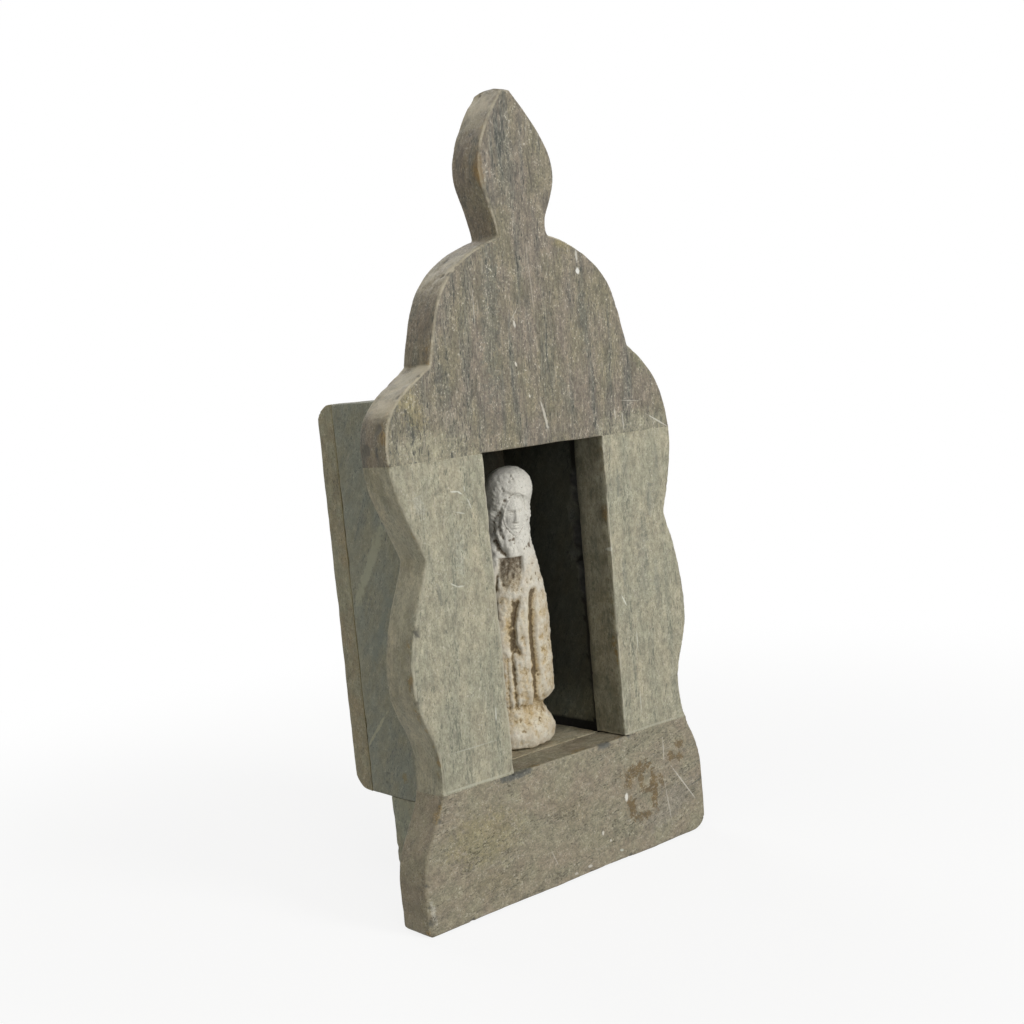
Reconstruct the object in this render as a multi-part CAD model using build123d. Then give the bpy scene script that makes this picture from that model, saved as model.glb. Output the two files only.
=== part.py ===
from build123d import *
import math
import os

# A small soapstone oratory: a scalloped front slab of four stones, a niche box of five
# stone panels behind its opening, a foot stone under the box, and a carved figure inside.
# Millimetres. X runs to the right, Y to the back and Z up. The origin is on the ground, in
# the middle of the object's width and depth. The pieces are drawn about the bud's line with
# Y = 0 at the slab's front face, and moved to the origin at the end.

# Driving sizes of the slab
slab_thickness = 19.0
arris_radius = 1.6

# Where the outline turns, going up each side: a half width, and the rise over the turn below.
# The stone is cut by hand, and the two sides differ by a few millimetres.
left_base_half = 86.4
left_corner_radius = 2.2
left_base_straight_top = 18.5
left_waist = (72.0, 64.5)
left_low_lobe = (81.8, 39.0)
left_notch = (69.0, 48.0)
left_high_lobe = (83.0, 46.5)
left_shoulder_notch = (57.0, 32.0)
left_shoulder = (46.4, 30.8)
left_neck = (13.8, 19.7)
left_neck_radius = 1.5
left_neck_flare = 0.15
left_bud = (20.8, 25.0)

right_base_half = 82.4
right_corner_radius = 8.0
right_base_straight_top = 29.5
right_waist = (72.1, 69.5)
right_low_lobe = (80.9, 38.0)
right_notch = (72.0, 45.0)
right_high_lobe = (80.4, 37.0)
right_shoulder_notch = (57.6, 41.5)
right_shoulder = (48.6, 28.8)
right_neck = (15.4, 20.7)
right_neck_radius = 3.0
right_neck_flare = -0.86
right_bud = (19.2, 16.3)

# The bud, from its neck to its tip
bud_height = 62.5
tip_lean = 2.0
tip_radius = 3.0
tip_slope = 1.13
tip_crown = 2.2

# The opening in the slab, a little wider at the top
mouth_left = 34.0
mouth_right_at_sill = 33.4
mouth_right_at_head = 36.0
mouth_sill = 55.5
mouth_height = 136.0
mouth_arris_radius = 0.6

# The niche box, whose floor is level with the sill
box_half = 54.5
box_depth = 69.0
box_over_mouth = 25.5
box_rear_radius = 9.0
side_panel = 12.0
back_panel = 12.0
top_panel = 12.0
floor_panel = 14.0
panel_arris_radius = 0.8

# The floor panel ends just past the opening, short of the right side panel
floor_past_mouth = 1.6

# The foot stone, as wide as the niche box
foot_depth = 43.5
foot_arris_radius = 1.5

# The figure: each row is a height over the floor, a half width and a half depth. It stands
# a little out of true and is turned to one side.
figure_x = 1.0
figure_setback = 21.0
figure_lean_x = 6.0
figure_lean_y = -7.0
figure_turn = -37.0
pedestal_sections = [(0, 17.5, 17.5), (4, 19.0, 19.0), (8, 19.5, 19.5), (14, 16.6, 16.6),
                     (19, 13.8, 13.0)]
robe_sections = [(20, 16.6, 13.6), (27, 18.8, 15.4), (41, 18.2, 15.0), (59, 17.2, 14.3),
                 (76, 13.9, 11.8), (92, 10.5, 9.8), (103, 9.1, 9.0), (110, 7.4, 7.4)]
hood_half = 10.7
hood_height = 28.0
hood_over_robe = 12.0
hood_tilt = 12.0
hands_width = 10.0
hands_reach = 1.5
hands_height = 16.5
hands_bottom = 71.0
hands_arris_radius = 1.5

# Adds up the rises of the turns along one side
def climb(*turns):
    height = 0
    points = []
    for half_width, rise in turns:
        height += rise
        points.append((half_width, height))
    return points


left_turns = climb(left_waist, left_low_lobe, left_notch, left_high_lobe, left_shoulder_notch,
                   left_shoulder, left_neck, left_bud)
right_turns = climb(right_waist, right_low_lobe, right_notch, right_high_lobe,
                    right_shoulder_notch, right_shoulder, right_neck, right_bud)
left_neck_point = left_turns[-2]
right_neck_point = right_turns[-2]
total_height = left_neck_point[1] + bud_height

# The two sides would meet at this point over the rounded tip
tip_cusp = total_height + tip_radius * (math.hypot(1, tip_slope) - 1)
mouth_head = mouth_sill + mouth_height
slab_back = slab_thickness
box_back = slab_back + box_depth
box_bottom = mouth_sill - floor_panel
box_top = mouth_head + box_over_mouth
floor_top = mouth_sill
hood_bottom = robe_sections[-1][0] - hood_over_robe
figure_height = hood_bottom + hood_height


# Outline of the slab, from the middle of the foot up one side to the tip
def side_outline(side, base_half, corner_radius, straight_top, turns, neck_flare):
    waist, low_lobe, notch, high_lobe, shoulder_notch, shoulder, neck, bud = turns

    def at(point):
        return (side * point[0], point[1])

    def along(x, z):
        return (side * x, z)

    corner_start = at((base_half - corner_radius, 0))
    foot_line = Line((0, 0), corner_start)
    corner_arc = RadiusArc(corner_start, at((base_half, corner_radius)), -side * corner_radius)
    base_side = Line(at((base_half, corner_radius)), at((base_half, straight_top)))
    base_sweep = Spline([base_side @ 1, at(waist)], tangents=[(0, 1), (0, 1)])
    low_rise = Spline([at(waist), at(low_lobe)], tangents=[(0, 1), (0, 1)])
    low_fall = Spline([at(low_lobe), at(notch)], tangents=[(0, 1), along(-0.32, 1)])
    high_rise = Spline([at(notch), at(high_lobe)], tangents=[along(0.36, 1), (0, 1)])
    high_fall = Spline([at(high_lobe), at(shoulder_notch)], tangents=[(0, 1), along(-1, 0.75)])
    shoulder_curve = Spline([at(shoulder_notch), at(shoulder), at(neck)],
                            tangents=[along(-0.25, 1), along(-1, 0.3)])
    bud_curve = Spline([at(neck), at(bud), (-tip_lean, tip_cusp)],
                       tangents=[along(neck_flare, 1), along(-1, tip_slope)])
    return [foot_line, corner_arc, base_side, base_sweep, low_rise, low_fall, high_rise,
            high_fall, shoulder_curve, bud_curve]


def slab_blank():
    left = side_outline(-1, left_base_half, left_corner_radius, left_base_straight_top,
                        left_turns, left_neck_flare)
    right = side_outline(1, right_base_half, right_corner_radius, right_base_straight_top,
                         right_turns, right_neck_flare)
    face = make_face([*left, *right])
    blank = extrude(Plane.XZ.location * face, amount=slab_thickness, dir=(0, 1, 0))
    for neck, side, radius in ((left_neck_point, -1, left_neck_radius),
                               (right_neck_point, 1, right_neck_radius)):
        corner = blank.edges().filter_by(Axis.Y).sort_by_distance(
            (side * neck[0], slab_thickness / 2, neck[1]))[0]
        blank = fillet(corner, radius)
    tip = blank.edges().filter_by(Axis.Y).sort_by(Axis.Z)[-1]
    blank = fillet(tip, tip_radius)
    rims = blank.edges().filter_by(lambda edge: edge.bounding_box().size.Y < 0.01)
    blank = fillet(rims, arris_radius)
    return blank - crown_cutter()


# What the rounding of the tip from front to back takes away
def crown_cutter():
    radius = ((slab_thickness / 2) ** 2 + tip_crown ** 2) / (2 * tip_crown)
    wide = 4 * tip_crown + 4 * tip_radius
    centre = (0, slab_thickness / 2, total_height)
    waste = Pos(*centre) * Box(wide, 2 * slab_thickness, 2 * tip_crown)
    round_top = Cylinder(radius, 2 * wide, rotation=(0, 90, 0))
    return waste - Pos(0, slab_thickness / 2, total_height - radius) * round_top


def mouth_cutter():
    corners = [(-mouth_left, mouth_sill), (mouth_right_at_sill, mouth_sill),
               (mouth_right_at_head, mouth_head), (-mouth_left, mouth_head)]
    face = Plane.XZ.location * make_face(Polyline(corners, close=True))
    cutter = extrude(face, amount=3 * slab_thickness, dir=(0, 1, 0))
    return Pos(0, -slab_thickness, 0) * cutter


def band(bottom, top):
    wide = 4 * max(left_base_half, right_base_half)
    centre = (0, slab_thickness / 2, (bottom + top) / 2)
    return Pos(*centre) * Box(wide, 3 * slab_thickness, top - bottom)


def slab_stones():
    slab = slab_blank() - mouth_cutter()
    lips = [edge for edge in slab.edges()
            if -mouth_left - 0.1 < edge.center().X < mouth_right_at_head + 0.1
            and mouth_sill - 0.1 < edge.center().Z < mouth_head + 0.1
            and edge.bounding_box().size.Y < 0.01]
    slab = fillet(lips, mouth_arris_radius)
    posts = slab & band(mouth_sill, mouth_head)
    left, right = posts.solids().sort_by(Axis.X)
    base = slab & band(-total_height, mouth_sill)
    head = slab & band(mouth_head, 2 * total_height)
    return {"head_stone": head, "left_post": left, "right_post": right, "base_stone": base}


# Niche box: the back panel covers the ends of the side panels, which hold top and floor
def box_blank():
    tall = box_top - box_bottom
    centre = (0, slab_back + box_depth / 2, box_bottom + tall / 2)
    blank = Pos(*centre) * Box(2 * box_half, box_depth, tall)
    rear = blank.edges().filter_by(Axis.X).group_by(Axis.Y)[-1]
    return fillet(rear, box_rear_radius)


def block(low, high):
    size = [high[i] - low[i] for i in range(3)]
    centre = [(high[i] + low[i]) / 2 for i in range(3)]
    return Pos(*centre) * Box(*size)


def box_panels():
    blank = box_blank()
    inner_half = box_half - side_panel
    inner_back = box_back - back_panel
    back = blank & block((-box_half, inner_back, box_bottom), (box_half, box_back, box_top))
    back = fillet(back.edges().filter_by(Axis.Z).group_by(Axis.Y)[-1], panel_arris_radius)
    sides = {}
    for name, side in (("left_side_panel", -1), ("right_side_panel", 1)):
        near = min(side * inner_half, side * box_half)
        far = max(side * inner_half, side * box_half)
        panel = block((near, slab_back, box_bottom), (far, inner_back, box_top))
        outer = [edge for edge in panel.edges().filter_by(Axis.Y)
                 if abs(edge.center().X) > box_half - 0.1]
        sides[name] = fillet(outer, panel_arris_radius)
    top = block((-inner_half, slab_back, box_top - top_panel), (inner_half, inner_back, box_top))
    floor = block((-inner_half, slab_back, box_bottom),
                  (mouth_right_at_sill + floor_past_mouth, inner_back, floor_top))
    return {"back_panel": back, **sides, "top_panel": top, "floor_panel": floor}


# Foot stone under the box
def foot_stone():
    stone = block((-box_half, slab_back, 0), (box_half, slab_back + foot_depth, box_bottom))
    rear = stone.edges().filter_by(Axis.Z).group_by(Axis.Y)[-1]
    return fillet(rear, foot_arris_radius)


# Carved figure: an oval pedestal, a robe that spreads downwards, a hood and joined hands
def figure_axis(height):
    share = height / figure_height
    return (figure_x + share * figure_lean_x, slab_back + figure_setback + share * figure_lean_y)


def oval(height, half_width, half_depth):
    x, y = figure_axis(height)
    place = Location((x, y, floor_top + height), (0, 0, figure_turn))
    return place * Ellipse(half_width, half_depth)


def carved_figure():
    pedestal = loft([oval(*row) for row in pedestal_sections])
    join = pedestal_sections[-1]
    first = robe_sections[0]
    collar = loft([oval(*join), oval(first[0], join[1], join[2])], ruled=True)
    robe = loft([oval(*row) for row in robe_sections])
    hood_centre = hood_bottom + hood_height / 2
    x, y = figure_axis(hood_centre)
    profile = Plane.XZ * EllipticalCenterArc((0, 0), hood_half, hood_height / 2,
                                             start_angle=-90, arc_size=180)
    face = make_face([profile, Line(profile @ 1, profile @ 0)])
    hood = revolve(face, Axis.Z)
    place = Location((x, y, floor_top + hood_centre), (0, 0, figure_turn))
    hood = place * Rot(0, hood_tilt, 0) * hood
    hx, hy = figure_axis(hands_bottom)
    chest = robe_sections[4][2]
    hands = Box(hands_width, chest + hands_reach, hands_height)
    hands = fillet(hands.edges(), hands_arris_radius)
    reach = -(chest + hands_reach) / 2
    turn = Location((hx, hy, floor_top + hands_bottom + hands_height / 2), (0, 0, figure_turn))
    hands = turn * Pos(0, reach, 0) * hands
    return pedestal + collar + robe + hood + hands


nodes = {**slab_stones(), **box_panels(), "foot_stone": foot_stone(),
         "carved_figure": carved_figure()}
os.makedirs("parts", exist_ok=True)
for name, solid in nodes.items():
    export_step(Pos((left_base_half - right_base_half) / 2, -box_back / 2, 0) * solid,
                f"parts/{name}.step")
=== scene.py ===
import math

import bmesh
import bpy
import numpy as np
from mathutils import Matrix, Vector


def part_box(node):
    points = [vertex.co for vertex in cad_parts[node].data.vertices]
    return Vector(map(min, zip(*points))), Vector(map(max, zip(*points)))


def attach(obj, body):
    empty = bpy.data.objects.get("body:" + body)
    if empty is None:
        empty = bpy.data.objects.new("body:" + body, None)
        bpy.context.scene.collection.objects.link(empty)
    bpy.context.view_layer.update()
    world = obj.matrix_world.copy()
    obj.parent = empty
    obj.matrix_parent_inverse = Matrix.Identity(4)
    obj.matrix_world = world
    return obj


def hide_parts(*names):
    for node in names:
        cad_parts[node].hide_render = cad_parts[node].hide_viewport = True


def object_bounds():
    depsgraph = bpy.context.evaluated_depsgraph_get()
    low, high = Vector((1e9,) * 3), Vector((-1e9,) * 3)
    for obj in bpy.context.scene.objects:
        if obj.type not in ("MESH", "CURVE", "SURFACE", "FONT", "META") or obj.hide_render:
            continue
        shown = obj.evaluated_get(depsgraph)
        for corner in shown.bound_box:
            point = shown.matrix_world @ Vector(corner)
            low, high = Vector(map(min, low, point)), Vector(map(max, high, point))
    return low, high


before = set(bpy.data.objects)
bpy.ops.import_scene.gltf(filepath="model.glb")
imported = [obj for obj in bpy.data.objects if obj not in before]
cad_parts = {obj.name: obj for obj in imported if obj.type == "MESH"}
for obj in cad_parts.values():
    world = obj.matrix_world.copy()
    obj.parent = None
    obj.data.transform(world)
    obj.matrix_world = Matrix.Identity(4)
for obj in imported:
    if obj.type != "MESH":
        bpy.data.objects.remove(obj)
cad_low, cad_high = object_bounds()

# Head stone
# One block of taupe soapstone with a bud finial, sawn to a slab of about 2 cm. Its outline is
# filed and its faces are rubbed flat by hand, so nothing on it is quite straight. It sits on
# the two posts with a thin glued joint.
collection = bpy.context.scene.collection
MM = 0.001

# Places from the frame and sizes in mm: the niche and the sides of the opening, how uneven and
# worn the stones are, and how far a mark reaches into the stone and past its line's ends
front = cad_low.y / MM
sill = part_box("base_stone")[1].z / MM
mouth_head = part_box("head_stone")[0].z / MM
mouth_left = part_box("left_post")[1].x / MM
mouth_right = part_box("right_post")[0].x / MM
inner_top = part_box("top_panel")[0].z / MM
inner_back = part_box("back_panel")[0].y / MM
panel_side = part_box("left_side_panel")[0].x / MM
niche_middle = 2.0
niche_half = 43.5
reveal_half = 37.0
slab_swell = 0.16
slab_ripple = 0.05
arris_wear = 0.22
arris_dents = 0.3
mark_depth = 4.0
mark_overrun = 1.12


def linear(code):
    channels = [int(code[i:i + 2], 16) / 255 for i in (1, 3, 5)]
    return [c / 12.92 if c < 0.04045 else ((c + 0.055) / 1.055) ** 2.4 for c in channels] + [1.0]


def add(tree, kind, inputs=None, **settings):
    made = tree.nodes.new(kind)
    for name, value in settings.items():
        setattr(made, name, value)
    for socket, value in (inputs or {}).items():
        if isinstance(value, bpy.types.NodeSocket):
            tree.links.new(value, made.inputs[socket])
        else:
            made.inputs[socket].default_value = value
    return made


def tinted(tree, colour, *layers):
    """Tints laid over a colour in turn, each as thick as its mask says."""
    for mask, tint in layers:
        colour = add(tree, "ShaderNodeMix", {0: mask, 6: colour, 7: linear(tint)},
                     data_type="RGBA").outputs[2]
    return colour


def places_of(mesh):
    flat = np.empty(len(mesh.vertices) * 3, np.float32)
    mesh.vertices.foreach_get("co", flat)
    return flat.reshape(-1, 3).astype(float) / MM


def normals_of(mesh):
    flat = np.empty(len(mesh.vertices) * 3, np.float32)
    mesh.vertex_normals.foreach_get("vector", flat)
    return flat.reshape(-1, 3).astype(float)


def put_places(mesh, places):
    mesh.vertices.foreach_set("co", (places * MM).astype(np.float32).ravel())
    mesh.update()


def paint(mesh, name, values):
    layer = mesh.attributes.new(name, "FLOAT", "POINT")
    layer.data.foreach_set("value", np.clip(values, 0, 1).astype(np.float32))


def swell(places, size, seed):
    """A smooth random field between about -1 and 1, made of sine waves that cross."""
    chance = np.random.default_rng(seed)
    field = np.zeros(len(places))
    waves = 14
    for _ in range(waves):
        way = chance.normal(size=3)
        way *= 2 * math.pi / (np.linalg.norm(way) * size * chance.uniform(0.7, 1.7))
        field += np.sin(places @ way + chance.uniform(0, 2 * math.pi))
    return field / math.sqrt(waves)


def soft(values, low, high):
    share = np.clip((values - low) / (high - low), 0, 1)
    return share * share * (3 - 2 * share)


def recut(node, fineness):
    """A copy of a CAD stone's mesh, cut again in small facets that keep its corners."""
    source = bmesh.new()
    source.from_mesh(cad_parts[node].data)
    bmesh.ops.remove_doubles(source, verts=source.verts, dist=1e-5)
    shell = bpy.data.meshes.new(node + "_block")
    source.to_mesh(shell)
    source.free()
    block = bpy.data.objects.new(node + "_block", shell)
    collection.objects.link(block)
    facets = block.modifiers.new("facets", "REMESH")
    facets.mode = "SHARP"
    facets.octree_depth = fineness
    facets.scale = 0.95
    facets.sharpness = 1.0
    facets.use_remove_disconnected = False
    ready = block.evaluated_get(bpy.context.evaluated_depsgraph_get())
    stone = bpy.data.meshes.new_from_object(ready)
    bpy.data.objects.remove(block)
    return stone


def glued_share(x, z):
    """1 at the slab's joints beside the opening, where glue holds two stones flush."""
    beside_mouth = 1 - soft(x, mouth_left - 1, mouth_left) * (
        1 - soft(x, mouth_right + 2, mouth_right + 3))
    at_joint = [1 - soft(np.abs(z - joint), 0.3, 1.5) for joint in (sill, mouth_head)]
    return np.maximum(*at_joint) * beside_mouth


def hand_cut(node, fineness, chips=(), nicks=0, seed=1, swell_depth=slab_swell,
             in_slab=True, gap_shadow=None):
    """A stone with uneven faces, worn arrises, the chips given (place, radius and depth) and
    this many small nicks at random. It takes the place of its CAD node."""
    stone = recut(node, fineness)
    places = places_of(stone)
    normals = normals_of(stone)
    x, y, z = places.T
    glued = glued_share(x, z) if in_slab else np.zeros(len(places))
    arris = (1 - soft(np.abs(normals).max(axis=1), 0.78, 0.97)) * (1 - glued)

    # At a glued joint the faces move level, so that both stones still meet
    level_ways = normals * (1, 1, 0)
    level_size = np.linalg.norm(level_ways, axis=1)[:, None]
    level_ways = np.where(level_size > 0.4, level_ways / np.maximum(level_size, 0.4), 0)
    ways = normals + (level_ways - normals) * (glued > 0.5)[:, None]
    depth = swell_depth * (swell(places, 34, 5) - 1) + slab_ripple * swell(places, 7, 6)
    depth -= arris * (arris_wear + arris_dents * soft(swell(places, 9, seed + 20), -0.2, 1.4))

    bruise = np.zeros(len(places))
    chance = np.random.default_rng(seed)
    corners = np.flatnonzero(arris > 0.6)
    spots = [(*places[i], chance.uniform(0.7, 1.7), chance.uniform(0.15, 0.5))
             for i in chance.choice(corners, nicks)] if nicks else []
    for *middle, radius, cut in [*chips, *spots]:
        reach = np.linalg.norm(places - middle, axis=1) / radius
        reach += 0.18 * swell(places, radius, seed + 3)
        depth -= cut * (1 - soft(reach, 0.45, 1.0))
        bruise = np.maximum(bruise, 1 - soft(reach, 0.6, 1.05))
    put_places(stone, places + ways * depth[:, None])

    # Old wax lies on the slab's sides, and painted shade darkens the niche and the opening's
    # sides
    side_face = 1 - soft(np.abs(normals[:, 1]), 0.5, 0.9)
    behind_arris = 1 - soft(y - front, 1.5, 6.5)
    from_middle = np.abs(x - niche_middle)
    inside = (soft(y - front, 12, 19) * (from_middle < niche_half) * (z > sill + 0.3)
              * (z < inner_top + 0.5) * (y < inner_back + 0.5))
    reveal = ((np.abs(normals[:, 0]) > 0.6) * (from_middle < reveal_half) * (z > sill)
              * (z < mouth_head) * soft(y - front, 0.5, 5))
    painted_shade = np.maximum(0.68 * inside * soft(z, sill, sill + 25), 0.3 * reveal)
    if gap_shadow:
        painted_shade = np.maximum(painted_shade, gap_shadow(places))
    paint(stone, "rim", side_face * (0.5 + 0.5 * behind_arris) * in_slab)
    paint(stone, "painted_shade", painted_shade)
    # Arrises are tinted pale in the material, partly for wear and partly as a painted highlight
    paint(stone, "arris", arris)
    paint(stone, "bruise", bruise * (1 - inside))
    stone.shade_smooth()
    stone.set_sharp_from_angle(angle=math.radians(50))
    piece = bpy.data.objects.new(node + "_worn", stone)
    collection.objects.link(piece)
    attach(piece, "root")
    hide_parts(node)
    return piece


# Soapstone, a talc rock, rubbed down by hand and never polished: a soft dull surface in
# clouds of brown, olive and blue grey, with short dark flecks along the bed of the stone. It
# is soft enough that every knock leaves a pale scratch. bed is how the bed is turned, in
# radians, and drawn how far the grain is drawn out along it. contrast is that of the mottling
# and cloudy that of the blotches.
def soapstone(name, body, warm, cool, fleck, bed, stains=(), scars=(), side_marks=(), band=0.6,
              rim="#7b6338", rim_share=0.6, arris_highlight_colour="#b0a68f", arris_share=0.5,
              bruise_colour="#5f5d54", contrast=1.0, cloudy=0.3, drawn=1.0):
    material = bpy.data.materials.new(name)
    material.use_nodes = True
    tree = material.node_tree
    tree.nodes.clear()
    here = add(tree, "ShaderNodeTexCoord").outputs["Object"]

    # Each pattern's size across and along the bed in mm, its turn from the bed, detail and
    # roughness. The grains of talc are finer in the stone, and drawn as coarse as they show.
    grain = {"clouds": (12, 26, 0, 4, 0.6), "bands": (5, 60, 0, 6, 0.68),
             "blotches": (4, 10, 0, 3, 0.6), "mottle": (1.6, 3.4, 0, 7, 0.74),
             "talc": (0.65, 1.0, 0, 2, 0.6), "flecks": (0.7, 3.2, 0, 3, 0.6),
             "streaks": (0.9, 7, 0.03, 3, 0.5), "scratches": (0.4, 20, 0.12, 1, 0.5)}
    noise = {}
    for pattern, (across_mm, along_mm, slant, detail, roughness) in grain.items():
        size = (across_mm * MM, across_mm * MM, max(along_mm * drawn, across_mm) * MM)
        bedded = add(tree, "ShaderNodeMapping", {
            "Vector": here, "Rotation": (bed[0], bed[1] + slant, bed[2]), "Scale": size},
            vector_type="TEXTURE")
        noise[pattern] = add(tree, "ShaderNodeTexNoise", {
            "Vector": bedded.outputs[0], "Scale": 1.0, "Detail": detail,
            "Roughness": roughness}).outputs[0]
    for pattern, size_mm, roughness in (("patches", 11, 0.62), ("ragged", 2.2, 0.7)):
        noise[pattern] = add(tree, "ShaderNodeTexNoise", {
            "Vector": here, "Scale": 1 / (size_mm * MM), "Detail": 5.0,
            "Roughness": roughness}).outputs[0]
    crowded = add(tree, "ShaderNodeMath", {0: noise["bands"], 1: 0.55, 2: noise["flecks"]},
                  operation="MULTIPLY_ADD").outputs[0]

    # Between which two levels each pattern comes up, and from what strength to what
    levels = {
        "clouds": (noise["clouds"], 0.4, 0.62, 0, 1),
        "bands": (noise["bands"], 0.5, 0.68, 0, band),
        "wax": (noise["patches"], 0.46, 0.62, 0, rim_share),
        "blotches": (noise["blotches"], 0.32, 0.68, 1 - cloudy, 1 + cloudy),
        "mottle": (noise["mottle"], 0.3, 0.7, 1 - 0.46 * contrast, 1 + 0.48 * contrast),
        "pale_talc": (noise["talc"], 0.58, 0.7, 0, 0.85 * contrast),
        "thick_talc": (noise["blotches"], 0.42, 0.6, 0.25, 1),
        "dark_talc": (noise["talc"], 0.42, 0.31, 0, 0.6 * contrast),
        "flecks": (crowded, 0.875, 0.945, 0, 0.88),
        "streaks": (noise["streaks"], 0.6, 0.72, 0, 0.5),
        "scratches": (noise["scratches"], 0.71, 0.78, 0, 0.45),
        "rubbed": (noise["patches"], 0.36, 0.56, 0.15 * arris_share, arris_share),
        "dull": (noise["mottle"], 0.3, 0.7, 0.56, 0.74)}
    mask = {}
    for effect, (pattern, start, full, weakest, strongest) in levels.items():
        mask[effect] = add(tree, "ShaderNodeMapRange", {
            "Value": pattern, "From Min": start, "From Max": full, "To Min": weakest,
            "To Max": strongest}).outputs[0]
    for effect in ("rim", "arris", "bruise", "painted_shade"):
        mask[effect] = add(tree, "ShaderNodeAttribute", attribute_name=effect).outputs["Fac"]
    for effect, first, second in (("rim", mask["rim"], mask["wax"]),
                                  ("pale_talc", mask["pale_talc"], mask["thick_talc"]),
                                  ("arris", mask["arris"], mask["rubbed"]),
                                  ("bruise", mask["bruise"], 0.75)):
        mask[effect] = add(tree, "ShaderNodeMath", {0: first, 1: second},
                           operation="MULTIPLY").outputs[0]
    mask["beside_arris"] = add(tree, "ShaderNodeMapRange", {
        "Value": mask["rim"], "From Min": 0.56 * rim_share, "From Max": 0.9 * rim_share,
        "To Max": 0.7}).outputs[0]

    def marked(colour, marks, side=None):
        """Single marks, each a long thin ellipsoid round a line on the front face, or on the
        side face at this x."""
        for u0, z0, u1, z1, half_width, tint, strength, fray in marks:
            half_length = max(math.hypot(u1 - u0, z1 - z0) / 2 * mark_overrun, half_width)
            turn = math.atan2(u1 - u0, z1 - z0)
            middle_u, middle_z = (u0 + u1) / 2 * MM, (z0 + z1) / 2 * MM
            place, turns = (middle_u, front * MM, middle_z), (0, turn, 0)
            reach = (half_width * MM, mark_depth * MM, half_length * MM)
            if side is not None:
                place, turns = (side * MM, middle_u, middle_z), (-turn, 0, 0)
                reach = (mark_depth * MM, half_width * MM, half_length * MM)
            own = add(tree, "ShaderNodeMapping", {
                "Vector": here, "Location": place, "Rotation": turns, "Scale": reach},
                vector_type="TEXTURE")
            distance = add(tree, "ShaderNodeVectorMath", {0: own.outputs[0]},
                           operation="LENGTH")
            frayed = add(tree, "ShaderNodeMath", {
                0: noise["ragged"], 1: -fray, 2: distance.outputs["Value"]},
                operation="MULTIPLY_ADD")
            share = add(tree, "ShaderNodeMapRange", {
                "Value": frayed.outputs[0], "From Min": 1.0 - fray / 2,
                "From Max": 0.6 - fray / 2, "To Max": strength})
            colour = tinted(tree, colour, (share.outputs[0], tint))
        return colour

    # Stains and old wax lie under the mottling, and scars and arrises over it. The arrises' pale
    # tint is partly wear and partly a painted highlight
    colour = tinted(tree, linear(body), (mask["clouds"], warm), (mask["bands"], cool),
                    (mask["rim"], rim), (mask["beside_arris"], "#8a7140"))
    colour = marked(colour, stains)
    for value in (mask["blotches"], mask["mottle"]):
        colour = add(tree, "ShaderNodeHueSaturation", {"Color": colour, "Value": value})
        colour = colour.outputs[0]
    # The near-black tint is painted shade in the niche and on the opening's sides
    colour = tinted(tree, colour, (mask["pale_talc"], "#cbc5b4"), (mask["dark_talc"], fleck),
                    (mask["flecks"], fleck), (mask["streaks"], "#b3ab99"),
                    (mask["scratches"], "#bdb8a8"), (mask["arris"], arris_highlight_colour),
                    (mask["bruise"], bruise_colour), (mask["painted_shade"], "#14120b"))
    colour = marked(colour, scars)
    colour = marked(colour, side_marks, panel_side)

    relief = add(tree, "ShaderNodeMath", {0: crowded, 1: -0.7, 2: noise["mottle"]},
                 operation="MULTIPLY_ADD")
    bump = add(tree, "ShaderNodeBump", {"Height": relief.outputs[0], "Strength": 0.55,
                                        "Distance": 0.0006})
    surface = add(tree, "ShaderNodeBsdfPrincipled", {
        "Base Color": colour, "IOR": 1.54, "Roughness": mask["dull"],
        "Normal": bump.outputs[0]})
    add(tree, "ShaderNodeOutputMaterial", {"Surface": surface.outputs[0]})
    return material


# Chips: place, radius and depth
head_chips = [(-79, front + 6, 206, 3.0, 0.7), (-80, front + 14, 198, 3.4, 0.8),
              (31.5, front, 264.5, 1.2, 0.4), (5.6, front, 199, 1.6, 0.25)]

# Marks on the front, each a line's two ends (across, up), half width, tint, strength and fray.
# Stains lie in the stone. Scars are knocks, scratches and cracks in its face.
head_stains = [
    (-17.4, 276, -24.3, 209, 5.5, "#545a52", 0.42, 4.5),
    (33.2, 258, 32.7, 229, 3.0, "#545a52", 0.4, 4.0),
    (-51.1, 231, -49.9, 213, 3.2, "#50544c", 0.42, 4.0),
    (-2.1, 328, -3.8, 285, 4.0, "#565a50", 0.35, 4.0),
    (15.5, 219, 22.2, 200, 3.5, "#5d6056", 0.35, 4.0),
    (18.1, 280, 30.1, 275.4, 5.0, "#8f8358", 0.45, 3.0),
    (-69.8, 221, -62.0, 203, 6.0, "#978c62", 0.5, 3.0),
    (61.6, 238, 75.6, 216, 9.0, "#7d7d5e", 0.4, 3.0),
    (-82, 197, -34, 194, 9.0, "#9b967e", 0.75, 2.6),
    (36, 194, 84, 195, 7.0, "#96937d", 0.65, 2.6),
    (-62, 215, -38, 200, 5.0, "#918a78", 0.4, 3.0),
]
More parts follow.
